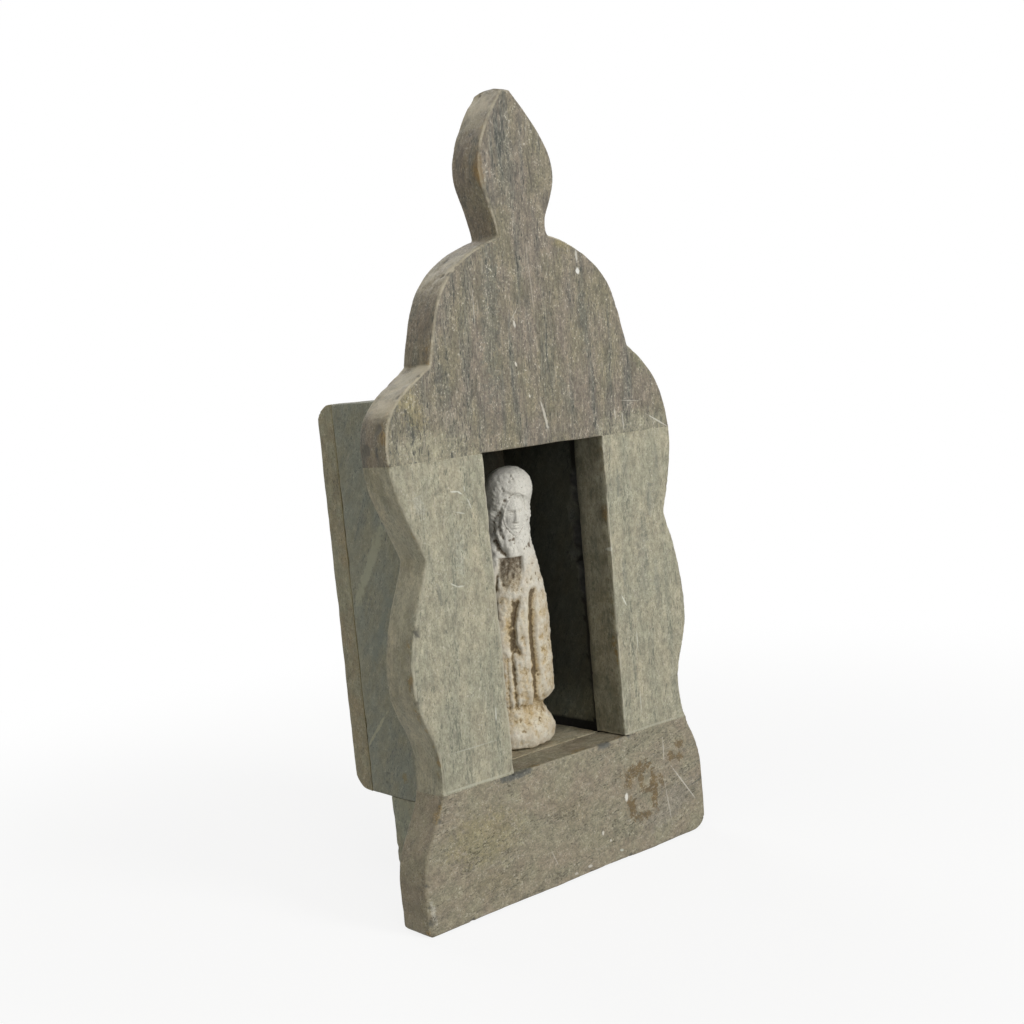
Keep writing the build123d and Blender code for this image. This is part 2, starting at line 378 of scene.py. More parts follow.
head_scars = [
    (-28.8, 260.5, -29.4, 241.5, 0.35, "#b9b4a6", 0.65, 0.8),
    (3.2, 277, 4.7, 244.5, 0.3, "#b5afa0", 0.6, 0.8),
    (2.9, 210.8, 6.7, 196.2, 0.75, "#cfcabc", 0.8, 1.6),
    (31.9, 274.4, 32.2, 268.2, 0.8, "#cfccbf", 0.75, 1.6),
    (31.9, 266, 32.4, 263, 1.1, "#eceae2", 0.95, 0.8),
    (47.4, 203.8, 47.7, 197.5, 0.45, "#cbc5b4", 0.7, 1.2),
    (52.1, 200.6, 52.4, 191.8, 0.5, "#c9c4b6", 0.65, 1.2),
    (51.8, 206.1, 64.0, 205.0, 0.28, "#c4bfb1", 0.5, 1.2),
    (-7.9, 245.3, -7.5, 241.9, 0.7, "#dad6ca", 0.85, 0.8),
    (-4.5, 251.1, -10.8, 243.5, 0.3, "#bcb5a6", 0.7, 0.6),
    (-9.3, 227.9, -8.7, 225.7, 0.6, "#e0dccf", 0.85, 0.8),
    (-3.3, 213.7, -3.0, 212.0, 0.6, "#dedacd", 0.85, 0.8),
    (67.8, 198.4, 81.8, 191.1, 0.4, "#dcd9cd", 0.65, 1.2),
    (8.3, 316.2, 9.8, 297.4, 0.6, "#45423a", 0.7, 1.8),
    (-19.0, 318.0, -18.5, 298.0, 2.2, "#7c6336", 0.5, 2.0),
]
head_skin = soapstone("honed_taupe_soapstone", "#7f7566", "#7d7660", "#5f625b", "#34362f",
                      (0.0, 0.05, 0.0), head_stains, head_scars, band=0.75, rim="#6f6040",
                      arris_highlight_colour="#cfc6ae", arris_share=0.75, contrast=1.15)
head_stone = hand_cut("head_stone", 8, head_chips, nicks=16, seed=11)
head_stone.data.materials.append(head_skin)

# Posts
# Two uprights of a greener soapstone, whose bed stands upright. They carry the head, and
# their inner faces are the sides of the opening.
post_chips = [(-75.5, front + 1, 124, 2.6, 0.7), (-76, front + 2, 120, 1.6, 0.4)]
post_stains = [
    (-49.2, 162, -49.3, 143, 3.0, "#aeb09f", 0.4, 4.0),
    (-69.6, 180, -65.4, 169, 3.0, "#b3b1a0", 0.55, 3.5),
    (-62.6, 142, -61.6, 133, 1.3, "#62675f", 0.5, 3.0),
    (57.1, 152, 56.3, 118, 5.0, "#7f8175", 0.4, 4.0),
    (69.9, 174, 68.8, 157, 3.0, "#7d7f70", 0.4, 4.0),
    (44.5, 134.7, 44.1, 121.0, 1.2, "#72756b", 0.5, 3.0),
    (45.9, 175.3, 45.5, 161.8, 1.6, "#72756b", 0.5, 3.0),
    (64.7, 168.5, 63.7, 150.2, 2.2, "#767a70", 0.45, 3.2),
    (64.6, 131.5, 65.0, 108.1, 2.2, "#7c8076", 0.4, 3.2),
    (71.3, 183.8, 71.2, 172.3, 1.5, "#74776c", 0.45, 3.0),
]
post_scars = [
    (-51.3, 178.0, -47.4, 177.6, 0.42, "#dcdccf", 0.8, 0.9),
    (-47.8, 177.8, -45.3, 176.3, 0.42, "#dcdccf", 0.8, 0.9),
    (-43.9, 179.5, -43.7, 177.0, 0.35, "#d2d2c4", 0.7, 0.9),
    (-42.9, 174.5, -40.9, 169.7, 0.38, "#d2d2c4", 0.7, 0.9),
    (-49.7, 169.5, -44.6, 168.1, 0.32, "#cfcfc2", 0.65, 0.9),
    (-56.1, 141.0, -52.5, 139.0, 0.38, "#d2d2c4", 0.75, 0.9),
    (-52.8, 139.1, -49.2, 138.8, 0.38, "#d2d2c4", 0.75, 0.9),
    (-76.5, 125.8, -74.4, 122.1, 0.9, "#4b4a40", 0.8, 1.4),
    (-38.7, 86.4, -39.2, 79.4, 0.4, "#d9d9cc", 0.75, 0.8),
    (-67.0, 71.9, -37.8, 71.8, 0.28, "#c0bfb0", 0.45, 1.2),
    (-70.5, 56.6, -32.9, 56.4, 0.7, "#c3c1ac", 0.6, 1.2),
    (35.1, 56.4, 78.0, 56.2, 0.6, "#bdb9a4", 0.5, 1.2),
    (41.0, 119.2, 43.6, 114.0, 0.45, "#dedfd2", 0.8, 0.9),
    (37.3, 141.7, 37.3, 139.7, 0.7, "#d8d8ca", 0.8, 0.9),
    (48.8, 101.3, 48.6, 92.1, 0.38, "#d2d2c4", 0.7, 0.9),
    (47.3, 74.2, 47.3, 64.0, 0.36, "#cfcfc1", 0.6, 0.9),
]
post_skin = soapstone("honed_green_soapstone", "#9d9a84", "#a8a189", "#8f9180", "#6b6c5c",
                      (0.0, 0.03, 0.0), post_stains, post_scars, band=0.5,
                      rim="#605b3c", rim_share=0.85, arris_highlight_colour="#cfcab4", arris_share=0.75,
                      bruise_colour="#5c594c", contrast=0.98, cloudy=0.17, drawn=0.8)
left_post = hand_cut("left_post", 7, post_chips, nicks=10, seed=21)
left_post.data.materials.append(post_skin)
right_post = hand_cut("right_post", 7, nicks=10, seed=22)
right_post.data.materials.append(post_skin)

# Base stone
# A browner block with its bed lying nearly flat. An old brown stain marks its right half, and
# its top arris is chipped where things were set down in the niche.
base_chips = [(-38, front, sill, 2.2, 0.5), (-33, front, sill, 3.0, 0.9),
              (-28, front, sill, 3.0, 1.0), (-24, front, sill, 2.2, 0.6),
              (20, front, sill, 2.6, 0.8), (23.5, front, sill, 2.4, 0.7)]

# The brown stain's ragged patches: ends of each one's line, half width and strength
stain_tint = "#6b5733"
stain_fray = 3.6
stain_patches = [
    (31.5, 37.6, 50.5, 39.4, 3.3, 0.94),
    (34.2, 37.0, 36.0, 31.0, 3.0, 0.84),
    (50.6, 37.0, 50.8, 17.5, 2.9, 0.92),
    (43.2, 38.5, 42.6, 28.0, 2.2, 0.84),
    (42.0, 28.2, 54.5, 27.6, 2.2, 0.84),
    (35.3, 27.5, 36.2, 17.0, 3.1, 0.94),
    (36.2, 17.0, 48.5, 16.6, 2.3, 0.88),
    (53.8, 33.8, 57.2, 27.5, 2.0, 0.80),
    (66.6, 45.0, 72.6, 43.0, 2.3, 0.86),
    (61.8, 41.4, 65.4, 38.0, 3.0, 0.84),
    (66.0, 38.0, 71.8, 37.4, 2.2, 0.84),
]
base_stains = [
    (-42.6, 54.4, -23.4, 54.2, 1.9, "#4c4e49", 0.85, 2.6),
    (-70.4, 33, -31.9, 33, 12.0, "#8e8560", 0.55, 3.5),
    (44.0, 10.0, 78.0, 24.0, 9.0, "#8a8478", 0.5, 3.5),
    (-14, 40, 8, 24, 7.0, "#857b63", 0.45, 4.0),
    (-60, 14, -34, 10, 6.0, "#7c7458", 0.4, 4.0),
    *[(*line, half_width, stain_tint, strength, stain_fray)
      for *line, half_width, strength in stain_patches],
    (-82.7, 15.5, -81.2, 4.8, 1.4, "#c4bfb0", 0.6, 3.0),
]
base_scars = [
    (18.3, 54.4, 25.2, 54.2, 1.8, "#55564f", 0.8, 2.2),
    (32.9, 30.0, 32.4, 26.0, 1.2, "#e9e6dc", 0.95, 1.2),
    (16.2, 17.0, 16.1, 14.8, 0.8, "#dad5c9", 0.9, 1.0),
    (20.3, 11.6, 20.9, 10.7, 0.7, "#d8d3c6", 0.9, 0.8),
    (25.8, 5.2, 28.0, 4.4, 0.7, "#ccd0c2", 0.75, 1.0),
    (5.2, 3.6, 8.1, 3.3, 0.8, "#d3cec2", 0.8, 1.0),
    (-3.4, 2.9, -0.7, 2.6, 0.7, "#cfc9bb", 0.7, 1.0),
    (63.0, 35.1, 78.3, 14.6, 0.4, "#dcd7ca", 0.62, 1.3),
    (58.1, 30.3, 60.9, 7.4, 0.36, "#cdc7b9", 0.5, 1.3),
    (59.5, 49.6, 59.0, 37.0, 0.38, "#cbc5b7", 0.6, 0.8),
    (-16.0, 17.7, -12.1, 9.0, 0.3, "#c6c0b2", 0.6, 0.7),
    (74.6, 22.4, 85.0, 24.4, 0.5, "#4e4f47", 0.7, 1.8),
]
base_skin = soapstone("honed_brown_soapstone", "#8e8871", "#8f8470", "#7b7968", "#514c39",
                      (0.0, math.radians(80), 0.0), base_stains, base_scars, band=0.5,
                      rim="#675c42", rim_share=0.7, arris_highlight_colour="#b0a891",
                      arris_share=0.35, bruise_colour="#50514b", contrast=0.92, cloudy=0.2,
                      drawn=0.5)
base_stone = hand_cut("base_stone", 8, base_chips, nicks=14, seed=31)
base_stone.data.materials.append(base_skin)

# Niche box
# Five thinner panels of dark green soapstone: two sides, a top and a floor between them, and
# a back that covers the ends of the sides. They are glued edge to edge behind the opening.
# Marks on the left panel's outer face, their lines measured back and up
panel_marks = [
    (0.6, 168, 30.5, 125, 3.2, "#a8aa93", 0.75, 3.2),
    (13.6, 81, 33.7, 60.6, 0.9, "#b0af96", 0.75, 2.0),
    (6.3, 53.4, 6.3, 49.8, 2.6, "#857445", 0.6, 3.0),
    (18.7, 52.8, 18.7, 51.4, 0.9, "#3f4038", 0.7, 1.2),
    (20.2, 48.4, 20.2, 47.0, 0.9, "#3f4038", 0.7, 1.2),
    (-12, 150, 8, 112, 4.0, "#6d766d", 0.45, 3.6),
    (4, 132, 24, 96, 3.0, "#747d74", 0.4, 3.6),
    (28, 110, 33, 96, 2.2, "#9b9b86", 0.4, 3.0),
]
panel_skin = soapstone("sawn_dark_green_soapstone", "#828678", "#868570", "#727a72", "#4f5450",
                       (0.5, 0.0, 0.0), side_marks=panel_marks, band=0.55,
                       arris_highlight_colour="#98937a", bruise_colour="#5f6056", contrast=0.75,
                       cloudy=0.16, drawn=0.6)
back_skin = soapstone("sawn_olive_soapstone", "#8f8d75", "#8f8468", "#7c7d67", "#55513c",
                      (0.2, 0.0, 0.0), band=0.4, arris_highlight_colour="#9a8f68", arris_share=0.6,
                      bruise_colour="#625a41", contrast=0.85, cloudy=0.2, drawn=0.5)
# The floor is the same olive stone under pale dust
floor_skin = soapstone("dusty_olive_soapstone", "#a8a28b", "#a5977b", "#8c8a76", "#5f5a45",
                       (0.0, 1.2, 0.0), band=0.4, arris_highlight_colour="#a39770",
                       bruise_colour="#625a41", contrast=0.8, cloudy=0.2, drawn=0.5)

# The right panel's front edge is broken off in a shallow curve behind the post
broken_x = 44.5
broken_edge = [(broken_x, -19.0, 120.0, 5.0, 2.2), (broken_x, -18.0, 128.0, 6.0, 3.2),
               (broken_x, -17.0, 137.0, 7.0, 4.0), (broken_x, -18.0, 147.0, 6.5, 4.2),
               (broken_x, -17.0, 156.0, 7.0, 3.8), (broken_x, -18.5, 165.0, 6.0, 3.4),
               (broken_x, -20.0, 173.0, 5.0, 2.2)]
panel_swell = 0.12
# Where shade is painted dark for the gap along the right panel's foot and its broken front edge
gap_shade_middle = 142.0
gap_shade_half_height = 17.0
gap_shade_width = 2.8
gap_shade_edge = -14.9
gap_shade_at_foot = 1.6


def right_gap_shade(places):
    """1 where shade is painted for the dark gap along the right panel's foot and beside its
    broken front edge.
    """
    x, y, z = places.T
    edge = gap_shade_width * np.exp(-((z - gap_shade_middle) / gap_shade_half_height) ** 2)
    edge += 0.5 * swell(places, 6, 45)
    gap_shade_depth = np.maximum(sill + gap_shade_at_foot - z, edge + gap_shade_edge - y)
    return (np.abs(x - 44) < 6) * soft(gap_shade_depth, -0.3, 0.4)


panels = {"left_side_panel": ("dark_green_soapstone", panel_skin, 8, (), None),
          "right_side_panel": ("dark_green_soapstone", panel_skin, 8, broken_edge, right_gap_shade),
          "top_panel": ("dark_green_soapstone", panel_skin, 4, (), None),
          "floor_panel": ("olive_soapstone", floor_skin, 4, (), None),
          "back_panel": ("olive_soapstone", back_skin, 12, (), None)}
for number, (panel, (slot, skin, nicks, breaks, gap)) in enumerate(panels.items()):
    slab = hand_cut(panel, 7, breaks, nicks, seed=41 + number, swell_depth=panel_swell,
                    in_slab=False, gap_shadow=gap)
    slab.data.materials.append(skin)

# Foot stone
# A rough block of the dark green soapstone, sawn and left as it is. It is glued under the box
# behind the base stone, and keeps the object from tipping back.
foot_skin = soapstone("rough_dark_green_soapstone", "#949884", "#97937a", "#7f877d", "#565a53",
                      (0.4, 0.0, 0.0), band=0.5, arris_highlight_colour="#a09b84",
                      bruise_colour="#5f6056", contrast=0.8, cloudy=0.2, drawn=0.5)
foot = hand_cut("foot_stone", 6, nicks=14, seed=51, swell_depth=0.2,
                in_slab=False)
foot.data.materials.append(foot_skin)

# Carved figure
# A hooded figure with joined hands on its own round pedestal, cut with gouges from one piece
# of pale cream stone and worn since. It stands loose on the niche's floor, leaning a little
# and turned to one side. Its hollows are painted darker, partly as old dirt and partly as
# painted shade.
figure_foot = (3.0, -4.0)
figure_lean = (6.0, -7.0)
figure_turn = math.radians(-37.0)
figure_tall = 126.0
rings = 330
steps_around = 280

# Heights, half widths and half depths, from the middle of the underside to the crown
figure_rows = np.array([
    (0.0, 0.0, 0.0), (0.0, 17.4, 17.4), (1.0, 18.4, 18.4), (4.4, 19.5, 19.4), (7.5, 19.2, 19.0),
    (10.2, 17.9, 17.7), (13.7, 15.5, 16.0), (16.6, 13.8, 14.8), (18.2, 13.9, 14.2),
    (19.6, 16.4, 14.7), (22.2, 18.6, 15.3), (26.0, 19.2, 15.8), (38.5, 18.2, 15.2),
    (56.9, 17.5, 14.7), (64.9, 16.3, 13.9), (75.7, 13.9, 12.3), (82.7, 12.3, 11.2),
    (88.3, 11.1, 10.4), (93.4, 10.1, 9.8), (98.9, 9.5, 9.4), (103.4, 9.7, 9.5),
    (107.8, 10.2, 10.0), (110.9, 10.8, 10.7), (114.9, 11.4, 11.4), (119.5, 10.2, 10.4),
    (123.4, 7.5, 7.8), (125.4, 4.0, 4.2), (figure_tall, 0.0, 0.0)])

# That line is run on past both of its ends, and a blur of 1.1 mm rounds its corners
fine_step = 0.1
blur_steps = 11
blur_reach = 40
flipped = figure_rows[::-1] * (1, -1, -1)
whole_line = np.vstack([flipped[:-1], figure_rows, flipped[1:]])
run = np.r_[0, np.cumsum(np.hypot(*np.diff(whole_line[:, :2], axis=0).T))]
fine_run = np.arange(0, run[-1], fine_step)
blur = np.exp(-0.5 * (np.arange(-blur_reach, blur_reach + 1) / blur_steps) ** 2)
fine_line = [np.convolve(np.interp(fine_run, run, whole_line[:, k]), blur / blur.sum(), "same")
             for k in range(3)]
own = (fine_run >= run[len(figure_rows) - 1]) & (fine_run <= run[2 * len(figure_rows) - 2])
line_height, line_width, line_depth = [column[own] for column in fine_line]
# Rings lie closer together on the face, and farther apart under the foot
closeness = 0.45 + 0.55 * soft(line_height, 0.2, 1.0) + 1.1 * soft(line_height, 92, 96) * (
    1 - soft(line_height, 114, 118))
spacing = np.cumsum(closeness)
spacing = (spacing - spacing[0]) / (spacing[-1] - spacing[0])

figure_form = bmesh.new()
bmesh.ops.create_uvsphere(figure_form, u_segments=steps_around, v_segments=rings, radius=1.0)
figure_mesh = bpy.data.meshes.new("carved_figure_worn")
figure_form.to_mesh(figure_mesh)
figure_form.free()
ball = places_of(figure_mesh) * MM
ring = 1 - np.arccos(np.clip(ball[:, 2], -1, 1)) / math.pi
around_angle = np.arctan2(ball[:, 0], -ball[:, 1])
height = np.interp(ring, spacing, line_height)
body = np.column_stack([np.interp(ring, spacing, line_width) * np.sin(around_angle),
                        -np.interp(ring, spacing, line_depth) * np.cos(around_angle), height])
put_places(figure_mesh, body)
outward = normals_of(figure_mesh)
facing = soft(-outward[:, 1], 0.0, 0.35)
behind = soft(outward[:, 1], 0.0, 0.35)
across = body[:, 0]
cut = np.zeros(len(body))
forward = np.zeros(len(body))


def from_line(u, v, points):
    """Distance from a bent line, and the side of it: 1 on the right going along it."""
    near = np.full(len(u), 1e9)
    side = np.zeros(len(u))
    for (u0, v0), (u1, v1) in zip(points, points[1:]):
        du, dv = u1 - u0, v1 - v0
        share = np.clip(((u - u0) * du + (v - v0) * dv) / (du * du + dv * dv), 0, 1)
        away_u, away_v = u - u0 - share * du, v - v0 - share * dv
        gap = np.hypot(away_u, away_v)
        closer = gap < near
        near[closer] = gap[closer]
        side[closer] = np.sign(away_u * dv - away_v * du)[closer]
    return near, side


def gouge(points, width, depth, where=None, lip=0.0):
    """A groove along a line, on the figure's front unless said otherwise."""
    gap, _ = from_line(across, height, points)
    where = facing if where is None else where
    groove = -depth * (1 - soft(gap, 0, width)) + lip * np.exp(-((gap / width - 1.5) / 0.5) ** 2)
    return groove * where


def ridge(points, width, rise):
    gap, _ = from_line(across, height, points)
    return rise * np.exp(-(gap / width) ** 2) * facing


def swelling(u, v, middle_u, middle_v, half_u, half_v, rise):
    """A soft oval mound, or a hollow where the rise is negative."""
    return rise * np.exp(-((u - middle_u) / half_u) ** 2 - ((v - middle_v) / half_v) ** 2)


# The hood: a round cap whose brim overhangs the face, and a veil that falls from it
brim = [(-3.0, 116.2), (0.3, 115.0), (3.4, 114.2), (6.6, 113.2), (8.8, 111.8), (10.6, 110.2)]
brim_gap, brim_side = from_line(across, height, brim)
under_brim = np.where(brim_side > 0, 1.0, 0.0) * (1 - soft(brim_gap, 2.0, 8.0))
under_brim *= soft(across, -5.0, 0.5)
cut -= 0.6 * under_brim * soft(brim_gap, 0.0, 1.6) * facing
cut += swelling(across, height, 4.5, 118.0, 8.0, 5.5, 0.5) * facing
veil_edge = [(-2.2, 110.8), (-3.6, 107.5), (-4.3, 104.3), (-5.1, 101.3), (-5.5, 99.1),
             (-4.7, 96.7), (-3.6, 94.6)]
veil_fold = [(-5.6, 105.6), (-6.6, 103.7), (-7.8, 100.7), (-7.9, 97.5), (-7.1, 93.4),
             (-5.4, 90.0), (-2.7, 86.9)]
right_veil_fold = [(9.6, 101.0), (9.8, 97.5), (9.9, 93.4), (9.2, 90.0)]
cut += gouge(veil_edge, 1.9, 0.8)
cut += gouge(veil_fold, 2.3, 1.25, lip=0.2)
cut += gouge(right_veil_fold, 1.8, 0.5)

# The face is plain and calm, a third each for brow, nose and chin, with lowered lids
face_turn = math.radians(16.5)
face_size = 1.16
face_middle = 104.4
face_half_width = 4.3
jaw_narrowing = 1.3
face_half_height = 7.4
face_hollow = 1.5
face_rise = 2.1
face_u = (body[:, 0] * math.cos(face_turn) + body[:, 1] * math.sin(face_turn)) / face_size
face_v = (height - face_middle) / face_size + face_middle
face_front = body[:, 0] * math.sin(face_turn) - body[:, 1] * math.cos(face_turn)
before = soft(face_front, 2.0, 5.0)
face_half = face_half_width - jaw_narrowing * soft(face_v, 101.5, 96.0)
oval = np.hypot(face_u / face_half, (face_v - face_middle) / face_half_height)
forward -= face_hollow * (1 - soft(oval, 0.84, 1.2)) * before
dome = np.sqrt(np.clip(1 - (oval / 1.08) ** 2, 0, 1))
forward += face_rise * dome * before
halves = np.abs(face_u)
eye_line, nose_line, mouth_line, chin_line = 105.2, 101.9, 99.9, 97.7
eye_out = 1.72

# Sockets, lids, brows, nostrils and cheeks on both halves, then the muzzle, both lips, the dip
# under them and the chin: place, half width, half height and rise
paired_forms = [(1.75, eye_line + 0.1, 1.25, 0.95, -0.75),
                (eye_out, eye_line - 0.25, 0.85, 0.5, 0.42),
                (1.7, eye_line + 1.35, 1.5, 0.5, 0.18),
                (0.72, nose_line + 0.05, 0.36, 0.42, 0.3),
                (2.45, eye_line - 2.8, 1.3, 1.7, 0.28)]
middle_forms = [(0, mouth_line - 0.05, 1.9, 1.5, 0.3),
                (0, mouth_line + 0.42, 1.2, 0.32, 0.2),
                (0, mouth_line - 0.48, 0.95, 0.34, 0.28),
                (0, mouth_line - 1.25, 1.1, 0.36, -0.24),
                (0, chin_line + 0.1, 1.25, 0.95, 0.5)]
features = sum(swelling(halves, face_v, *form) for form in paired_forms)
features += sum(swelling(face_u, face_v, *form) for form in middle_forms)
lid = eye_line - 0.62 + 0.18 * (halves - eye_out) ** 2
lid_there = 1 - soft(np.abs(halves - eye_out), 0.6, 0.95)
features -= 0.13 * np.exp(-((face_v - lid) / 0.16) ** 2) * lid_there
bridge = 1 - soft(face_v, nose_line + 0.1, 106.6)
nose_half = 0.5 + 0.45 * bridge
nose_there = soft(face_v, nose_line - 0.75, nose_line - 0.15)
features += (0.3 + 0.95 * bridge) * np.exp(-(face_u / nose_half) ** 2) * nose_there * (
    1 - soft(face_v, 106.0, 107.4))
lips = mouth_line + 0.05 - 0.06 * np.cos(face_u * 2.2)
features -= 0.3 * np.exp(-((face_v - lips) / 0.17) ** 2) * (1 - soft(halves, 1.15, 1.55))
forward += face_size * features * (1 - soft(oval, 0.8, 1.0)) * before
forward -= swelling(face_u, face_v, 0, chin_line - 2.6, 2.6, 1.0, 0.5) * before

# The chest, and a mantle whose hem hangs over the joined hands, which are nearly worn away
cut += swelling(across, height, 1.6, 91.0, 4.6, 4.4, 0.35) * facing
below_hem = 1 - soft(height, 85.5, 86.2)
hands_edge = 5.1 - 2.6 * (1 - soft(height, 70.0, 78.0))
in_quad = (1 - soft(across, hands_edge - 0.8, hands_edge + 0.9)) * facing
in_quad *= soft(across, -hands_edge - 1.2, -hands_edge + 0.4)
in_quad *= below_hem * soft(height, 68.0, 74.0)
cut -= in_quad * (0.35 + 1.1 * soft(height, 74.0, 84.0) + 0.12 * swell(body, 1.9, 66))
hands_line = 0.4 + 0.05 * (height - 78)
for hand in (-1, 1):
    palm = np.exp(-((across - hands_line - hand * 0.95) / 1.0) ** 2)
    cut += 0.35 * palm * soft(height, 71.0, 74.5) * (1 - soft(height, 82.0, 84.5)) * facing
right_sleeve = [(8.6, 84.0), (10.0, 78.0), (11.4, 71.5)]
left_sleeve = [(-8.2, 84.0), (-9.6, 78.0), (-11.0, 71.5)]
under_left_sleeve = [(-6.0, 80.0), (-7.4, 71.5), (-10.0, 69.0)]
cut += ridge(right_sleeve, 3.2, 0.7) + ridge(left_sleeve, 3.2, 0.7)
cut += gouge(under_left_sleeve, 1.2, 0.6)

# The robe's folds: gouged from the knees to the hem, sharp on one side and soft on the other
scoop_line = [(3.6, 68.6), (1.7, 63.3), (0.7, 58.8), (0.1, 54.3), (0.9, 47.3), (3.0, 41.0)]
gap, side = from_line(across, height, scoop_line)
scoop = np.where(side < 0, 1 - soft(gap, 0, 1.7), 1 - soft(gap, 0.4, 6.4))
scoop *= soft(height, 39.5, 47.0) * (1 - soft(height, 64.5, 70.0))
cut -= 1.6 * scoop * facing
# Each groove's line (across, height), width and depth, then the rounded folds at both sides
grooves = [
    ([(9.6, 69.6), (8.9, 64.8), (8.5, 55.7), (8.8, 46.4), (9.7, 37.1), (10.0, 27.8),
      (10.3, 19.6)], 2.6, 2.1),
    ([(11.5, 33.5), (12.7, 25.2), (13.1, 21.0)], 1.5, 0.7),
    ([(-1.0, 48.5), (-0.7, 40.6), (0.1, 33.6), (0.4, 26.6), (0.6, 18.9)], 1.7, 0.75),
    ([(-3.0, 41.5), (-2.8, 29.3), (-2.2, 15.5)], 0.5, 0.3),
    ([(-8.6, 66.0), (-8.2, 50.0), (-9.4, 37.0), (-9.8, 20.0)], 2.5, 1.6),
    ([(-12.4, 34.0), (-13.2, 22.0)], 0.9, 0.8),
]
for line, width, depth in grooves:
    cut += gouge(line, width, depth)
right_fold = [(12.9, 64.0), (13.6, 52.0), (14.4, 36.0), (14.8, 25.0)]
left_fold = [(-12.6, 66.0), (-13.8, 50.0), (-14.8, 25.0)]
cut += ridge(right_fold, 3.6, 0.5) + ridge(left_fold, 3.6, 0.5)

# Behind, the mantle falls in soft folds to a hem just over the robe's
for fold in (-9.6, -5.0, -0.6, 4.2, 9.0):
    cut += gouge([(fold * 0.55, 92.0), (fold * 0.9, 66.0), (fold * 1.25, 27.0)], 1.9, 1.05,
                 behind, lip=0.4)
mantle_hem = 25.5 + 0.8 * np.cos(around_angle * 5)
cut += 0.55 * behind * soft(height, mantle_hem, mantle_hem + 0.7) * (1 - soft(height, 84, 96))

# The gouged neck between robe and pedestal, then wear: dents, roughness and pits
cut -= 0.2 * np.exp(-((height - 18.1) / 0.9) ** 2)
on_face = (1 - soft(oval, 0.9, 1.2)) * before
wear = 0.24 * swell(body, 11, 61) + 0.17 * swell(body, 3.4, 62) + 0.11 * swell(body, 1.3, 63)
wear *= (1 - 0.85 * on_face) * (1 - 0.35 * soft(height, 108, 114))
wear -= 0.1 * soft(swell(body, 1.9, 64), 0.7, 1.8) * (1 - on_face)
chance = np.random.default_rng(65)
# Pits on the hood and chest one by one, a row down the robe, and small ones all over
pit_places = [(0.6, 121.6, 0.55), (1.6, 120.4, 0.5), (0.0, 119.4, 0.6), (2.6, 121.0, 0.4),
              (-3.4, 116.8, 0.5), (-2.6, 115.6, 0.5), (5.6, 116.2, 0.4), (1.6, 91.6, 0.5),
              (1.2, 89.6, 0.45), (1.0, 88.2, 0.4), (6.4, 88.8, 0.55), (7.4, 89.6, 0.4)]
pit_places += [(chance.normal(-2.6, 0.5), chance.uniform(15, 41), 0.35) for _ in range(14)]
for u, v, radius in pit_places:
    gap = np.hypot(across - u, height - v)
    wear -= 0.9 * radius * (1 - soft(gap, 0.1 * radius, 1.5 * radius)) * facing
for _ in range(80):
    at = body[chance.integers(len(body))]
    radius = chance.uniform(0.22, 0.62)
    gap = np.linalg.norm(body - at, axis=1)
    wear -= 0.45 * radius * (1 - soft(gap, 0.2 * radius, 1.3 * radius)) * (1 - on_face)

face_way = np.array([math.sin(face_turn), -math.cos(face_turn), 0.0])
carved = body + outward * (cut + wear)[:, None] + face_way * forward[:, None]
put_places(figure_mesh, carved)

# Hollows are where the surface lies under the average of its surroundings
smoothing_passes = 26
ends = np.empty(len(figure_mesh.edges) * 2, np.int32)
figure_mesh.edges.foreach_get("vertices", ends)
ends = ends.reshape(-1, 2)
from_ends, to_ends = np.r_[ends[:, 0], ends[:, 1]], np.r_[ends[:, 1], ends[:, 0]]
neighbours = np.bincount(from_ends, minlength=len(carved))[:, None]
smoothed = carved.copy()
for _ in range(smoothing_passes):
    smoothed = np.column_stack([np.bincount(from_ends, smoothed[to_ends, k], len(carved))
                                for k in range(3)]) / neighbours
hollow = ((smoothed - carved) * normals_of(figure_mesh)).sum(axis=1)
# The hollows are painted darker, partly as dirt and partly as painted shade
dirt_and_shade = soft(hollow, 0.0, 0.32)
dirt_and_shade *= 1 - 0.55 * np.exp(-((height - 18) / 3) ** 2)
# The recessed hands get more, darkest under the hem's overhang and towards the left: painted
# shade and dirt
smudge_and_shade = (0.5 + 0.5 * soft(height, 71.0, 82.0)) * (1 - 0.35 * soft(across, 1.0, 5.0))
smudge_and_shade *= 0.9 + 0.16 * swell(body, 2.2, 67)
dirt_and_shade = np.maximum(dirt_and_shade, in_quad * smudge_and_shade)
dirt_and_shade *= 1 - 0.6 * on_face
paint(figure_mesh, "dirt_and_shade", dirt_and_shade)
paint(figure_mesh, "worn_pale", soft(-hollow, 0.05, 0.3) * (1 - in_quad))

lean_share = height / figure_tall
turned_x = carved[:, 0] * math.cos(figure_turn) - carved[:, 1] * math.sin(figure_turn)
turned_y = carved[:, 0] * math.sin(figure_turn) + carved[:, 1] * math.cos(figure_turn)
put_places(figure_mesh, np.column_stack([
    figure_foot[0] + figure_lean[0] * lean_share + turned_x,
    figure_foot[1] + figure_lean[1] * lean_share + turned_y,
    sill + carved[:, 2] - carved[:, 2].min()]))
figure_mesh.shade_smooth()
carved_figure = bpy.data.objects.new("carved_figure_worn", figure_mesh)
collection.objects.link(carved_figure)

# Cream stone, gouged and rubbed but not polished: chalky and matt, yellowed towards the foot,
# with the hollows brown, partly with dirt and partly as painted shade, and pale rubbed ridges.
cream = bpy.data.materials.new("gouged_cream_stone")
cream.use_nodes = True
tree = cream.node_tree
tree.nodes.clear()
here = add(tree, "ShaderNodeTexCoord").outputs["Object"]
upright = add(tree, "ShaderNodeSeparateXYZ", {"Vector": here}).outputs["Z"]

